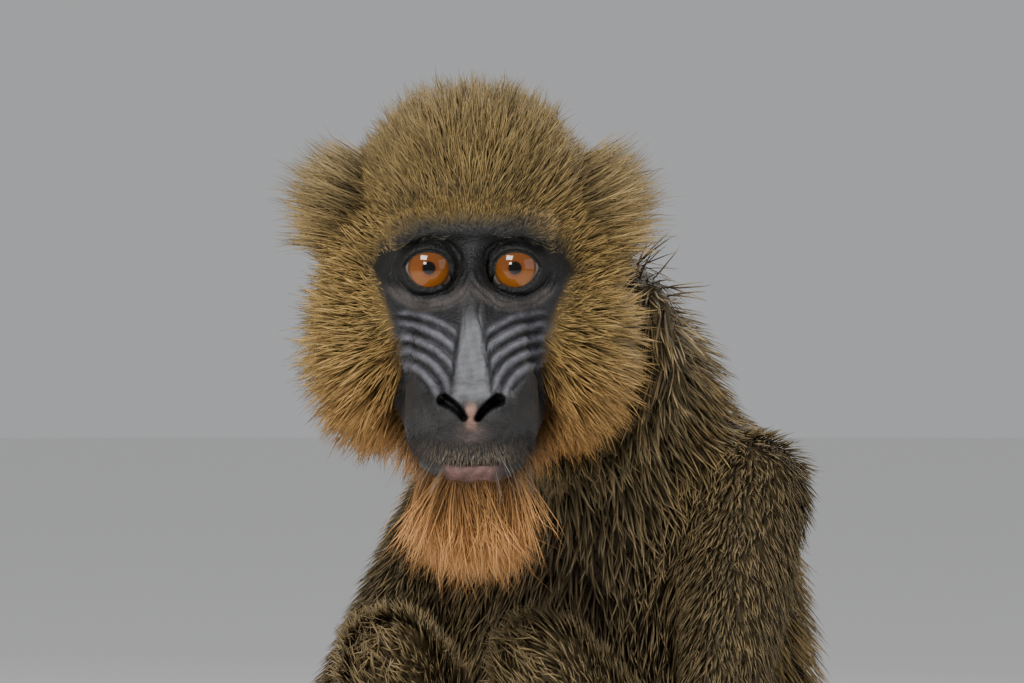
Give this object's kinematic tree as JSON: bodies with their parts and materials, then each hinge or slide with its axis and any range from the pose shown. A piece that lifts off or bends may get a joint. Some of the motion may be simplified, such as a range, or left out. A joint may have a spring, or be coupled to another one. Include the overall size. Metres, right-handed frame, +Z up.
{
  "type": "mandrill",
  "caption": "Life-size still model of a young mandrill that sits on its rump with drawn-up knees and both hands on the ground, head turned to the front.",
  "frame": {"origin": "on the ground, under the middle of the whole figure's box", "axes": "+Z up, the face looks along -Y, +X is the animal's left as it faces that way"},
  "size_m": [0.2634, 0.295, 0.3415],
  "materials": {
    "coat_olive": "soft ticked olive coat",
    "coat_grey": "soft grey-olive coat",
    "beard_orange": "loose orange beard",
    "face_skin": "bare dark slate skin, slightly moist",
    "bare_skin": "bare dark skin of the hands and feet",
    "ear_skin": "thin bare skin",
    "eye": "wet amber eye",
    "nail": "dark horn"
  },
  "bodies": {
    "root": {"head": "coat_olive", "lower_jaw": "beard_orange", "eye_left": "eye", "eye_right": "eye", "ear_left": "ear_skin", "ear_right": "ear_skin", "neck": "coat_olive", "chest": "coat_olive", "abdomen": "coat_olive", "pelvis": "coat_olive", "tail": "coat_olive", "upper_arm_left": "coat_grey", "forearm_left": "coat_grey", "hand_left": "bare_skin", "thigh_left": "coat_grey", "shank_left": "coat_grey", "foot_left": "bare_skin", "upper_arm_right": "coat_grey", "forearm_right": "coat_grey", "hand_right": "bare_skin", "thigh_right": "coat_grey", "shank_right": "coat_grey", "foot_right": "bare_skin"}
  },
  "joints": []
}
